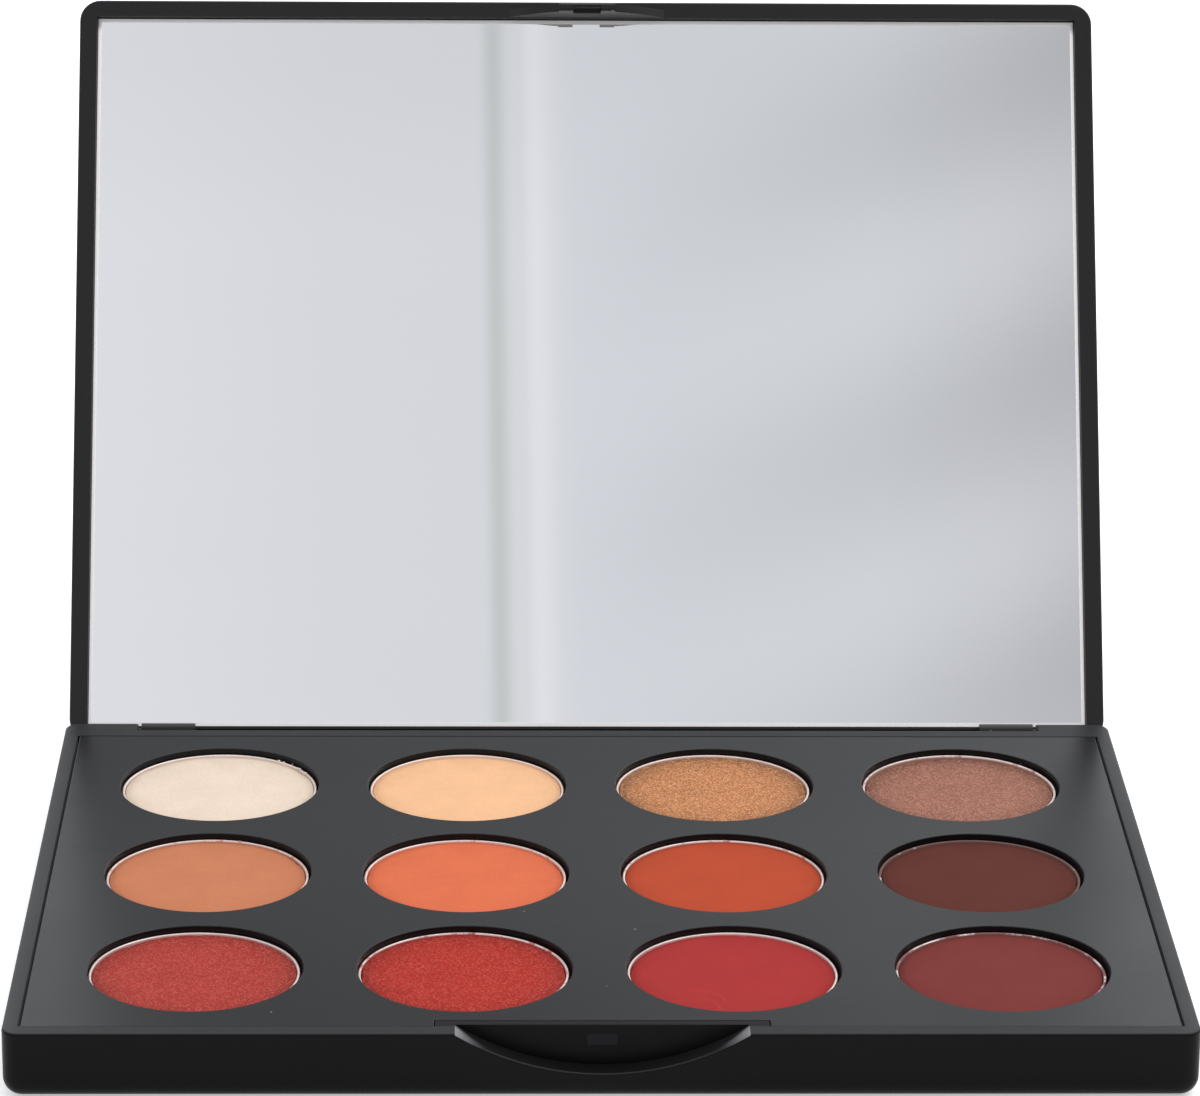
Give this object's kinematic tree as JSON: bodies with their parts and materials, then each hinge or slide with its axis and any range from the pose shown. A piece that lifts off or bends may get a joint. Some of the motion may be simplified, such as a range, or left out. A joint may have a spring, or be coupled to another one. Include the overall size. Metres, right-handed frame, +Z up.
{
  "type": "eyeshadow palette",
  "caption": "Rectangular pressed-powder palette with a grid of round pans and a hinged mirror lid that leans back on a stop.",
  "frame": {"origin": "middle of the flat underside of the base", "axes": "+X to the right as the user faces the open palette, +Y from the thumb scoop towards the hinge, +Z up out of the tray"},
  "size_m": [0.1468, 0.1613, 0.1018],
  "materials": {
    "case_plastic": "satin",
    "mirror_glass": "polished",
    "adhesive_sheet": "matte",
    "glue": "satin",
    "pin_steel": "satin",
    "pan_tin": "satin",
    "red_shimmer": "satin",
    "warm_red_shimmer": "satin",
    "crimson": "matte",
    "burgundy": "matte",
    "terracotta": "matte",
    "coral": "matte",
    "burnt_orange": "matte",
    "chocolate": "matte",
    "ivory": "matte",
    "peach": "matte",
    "copper_shimmer": "satin",
    "mauve_brown_shimmer": "satin"
  },
  "bodies": {
    "base": {"base_shell": "case_plastic", "pan_tray": "case_plastic", "pan_glue": "glue", "pan_front_1": "pan_tin", "pan_front_2": "pan_tin", "pan_front_3": "pan_tin", "pan_front_4": "pan_tin", "pan_middle_1": "pan_tin", "pan_middle_2": "pan_tin", "pan_middle_3": "pan_tin", "pan_middle_4": "pan_tin", "pan_back_1": "pan_tin", "pan_back_2": "pan_tin", "pan_back_3": "pan_tin", "pan_back_4": "pan_tin", "powder_front_1": "red_shimmer", "powder_front_2": "warm_red_shimmer", "powder_front_3": "crimson", "powder_front_4": "burgundy", "powder_middle_1": "terracotta", "powder_middle_2": "coral", "powder_middle_3": "burnt_orange", "powder_middle_4": "chocolate", "powder_back_1": "ivory", "powder_back_2": "peach", "powder_back_3": "copper_shimmer", "powder_back_4": "mauve_brown_shimmer", "hinge_pin_left": "pin_steel", "hinge_pin_right": "pin_steel"},
    "lid": {"lid_shell": "case_plastic", "mirror": "mirror_glass", "mirror_tape": "adhesive_sheet"}
  },
  "joints": [
    {"name": "lid_hinge", "type": "hinge", "parent": "base", "child": "lid", "pos_m": [0, 0.0528, 0.00785], "axis": [1, 0, 0], "range_deg": [0, 118.4]}
  ]
}
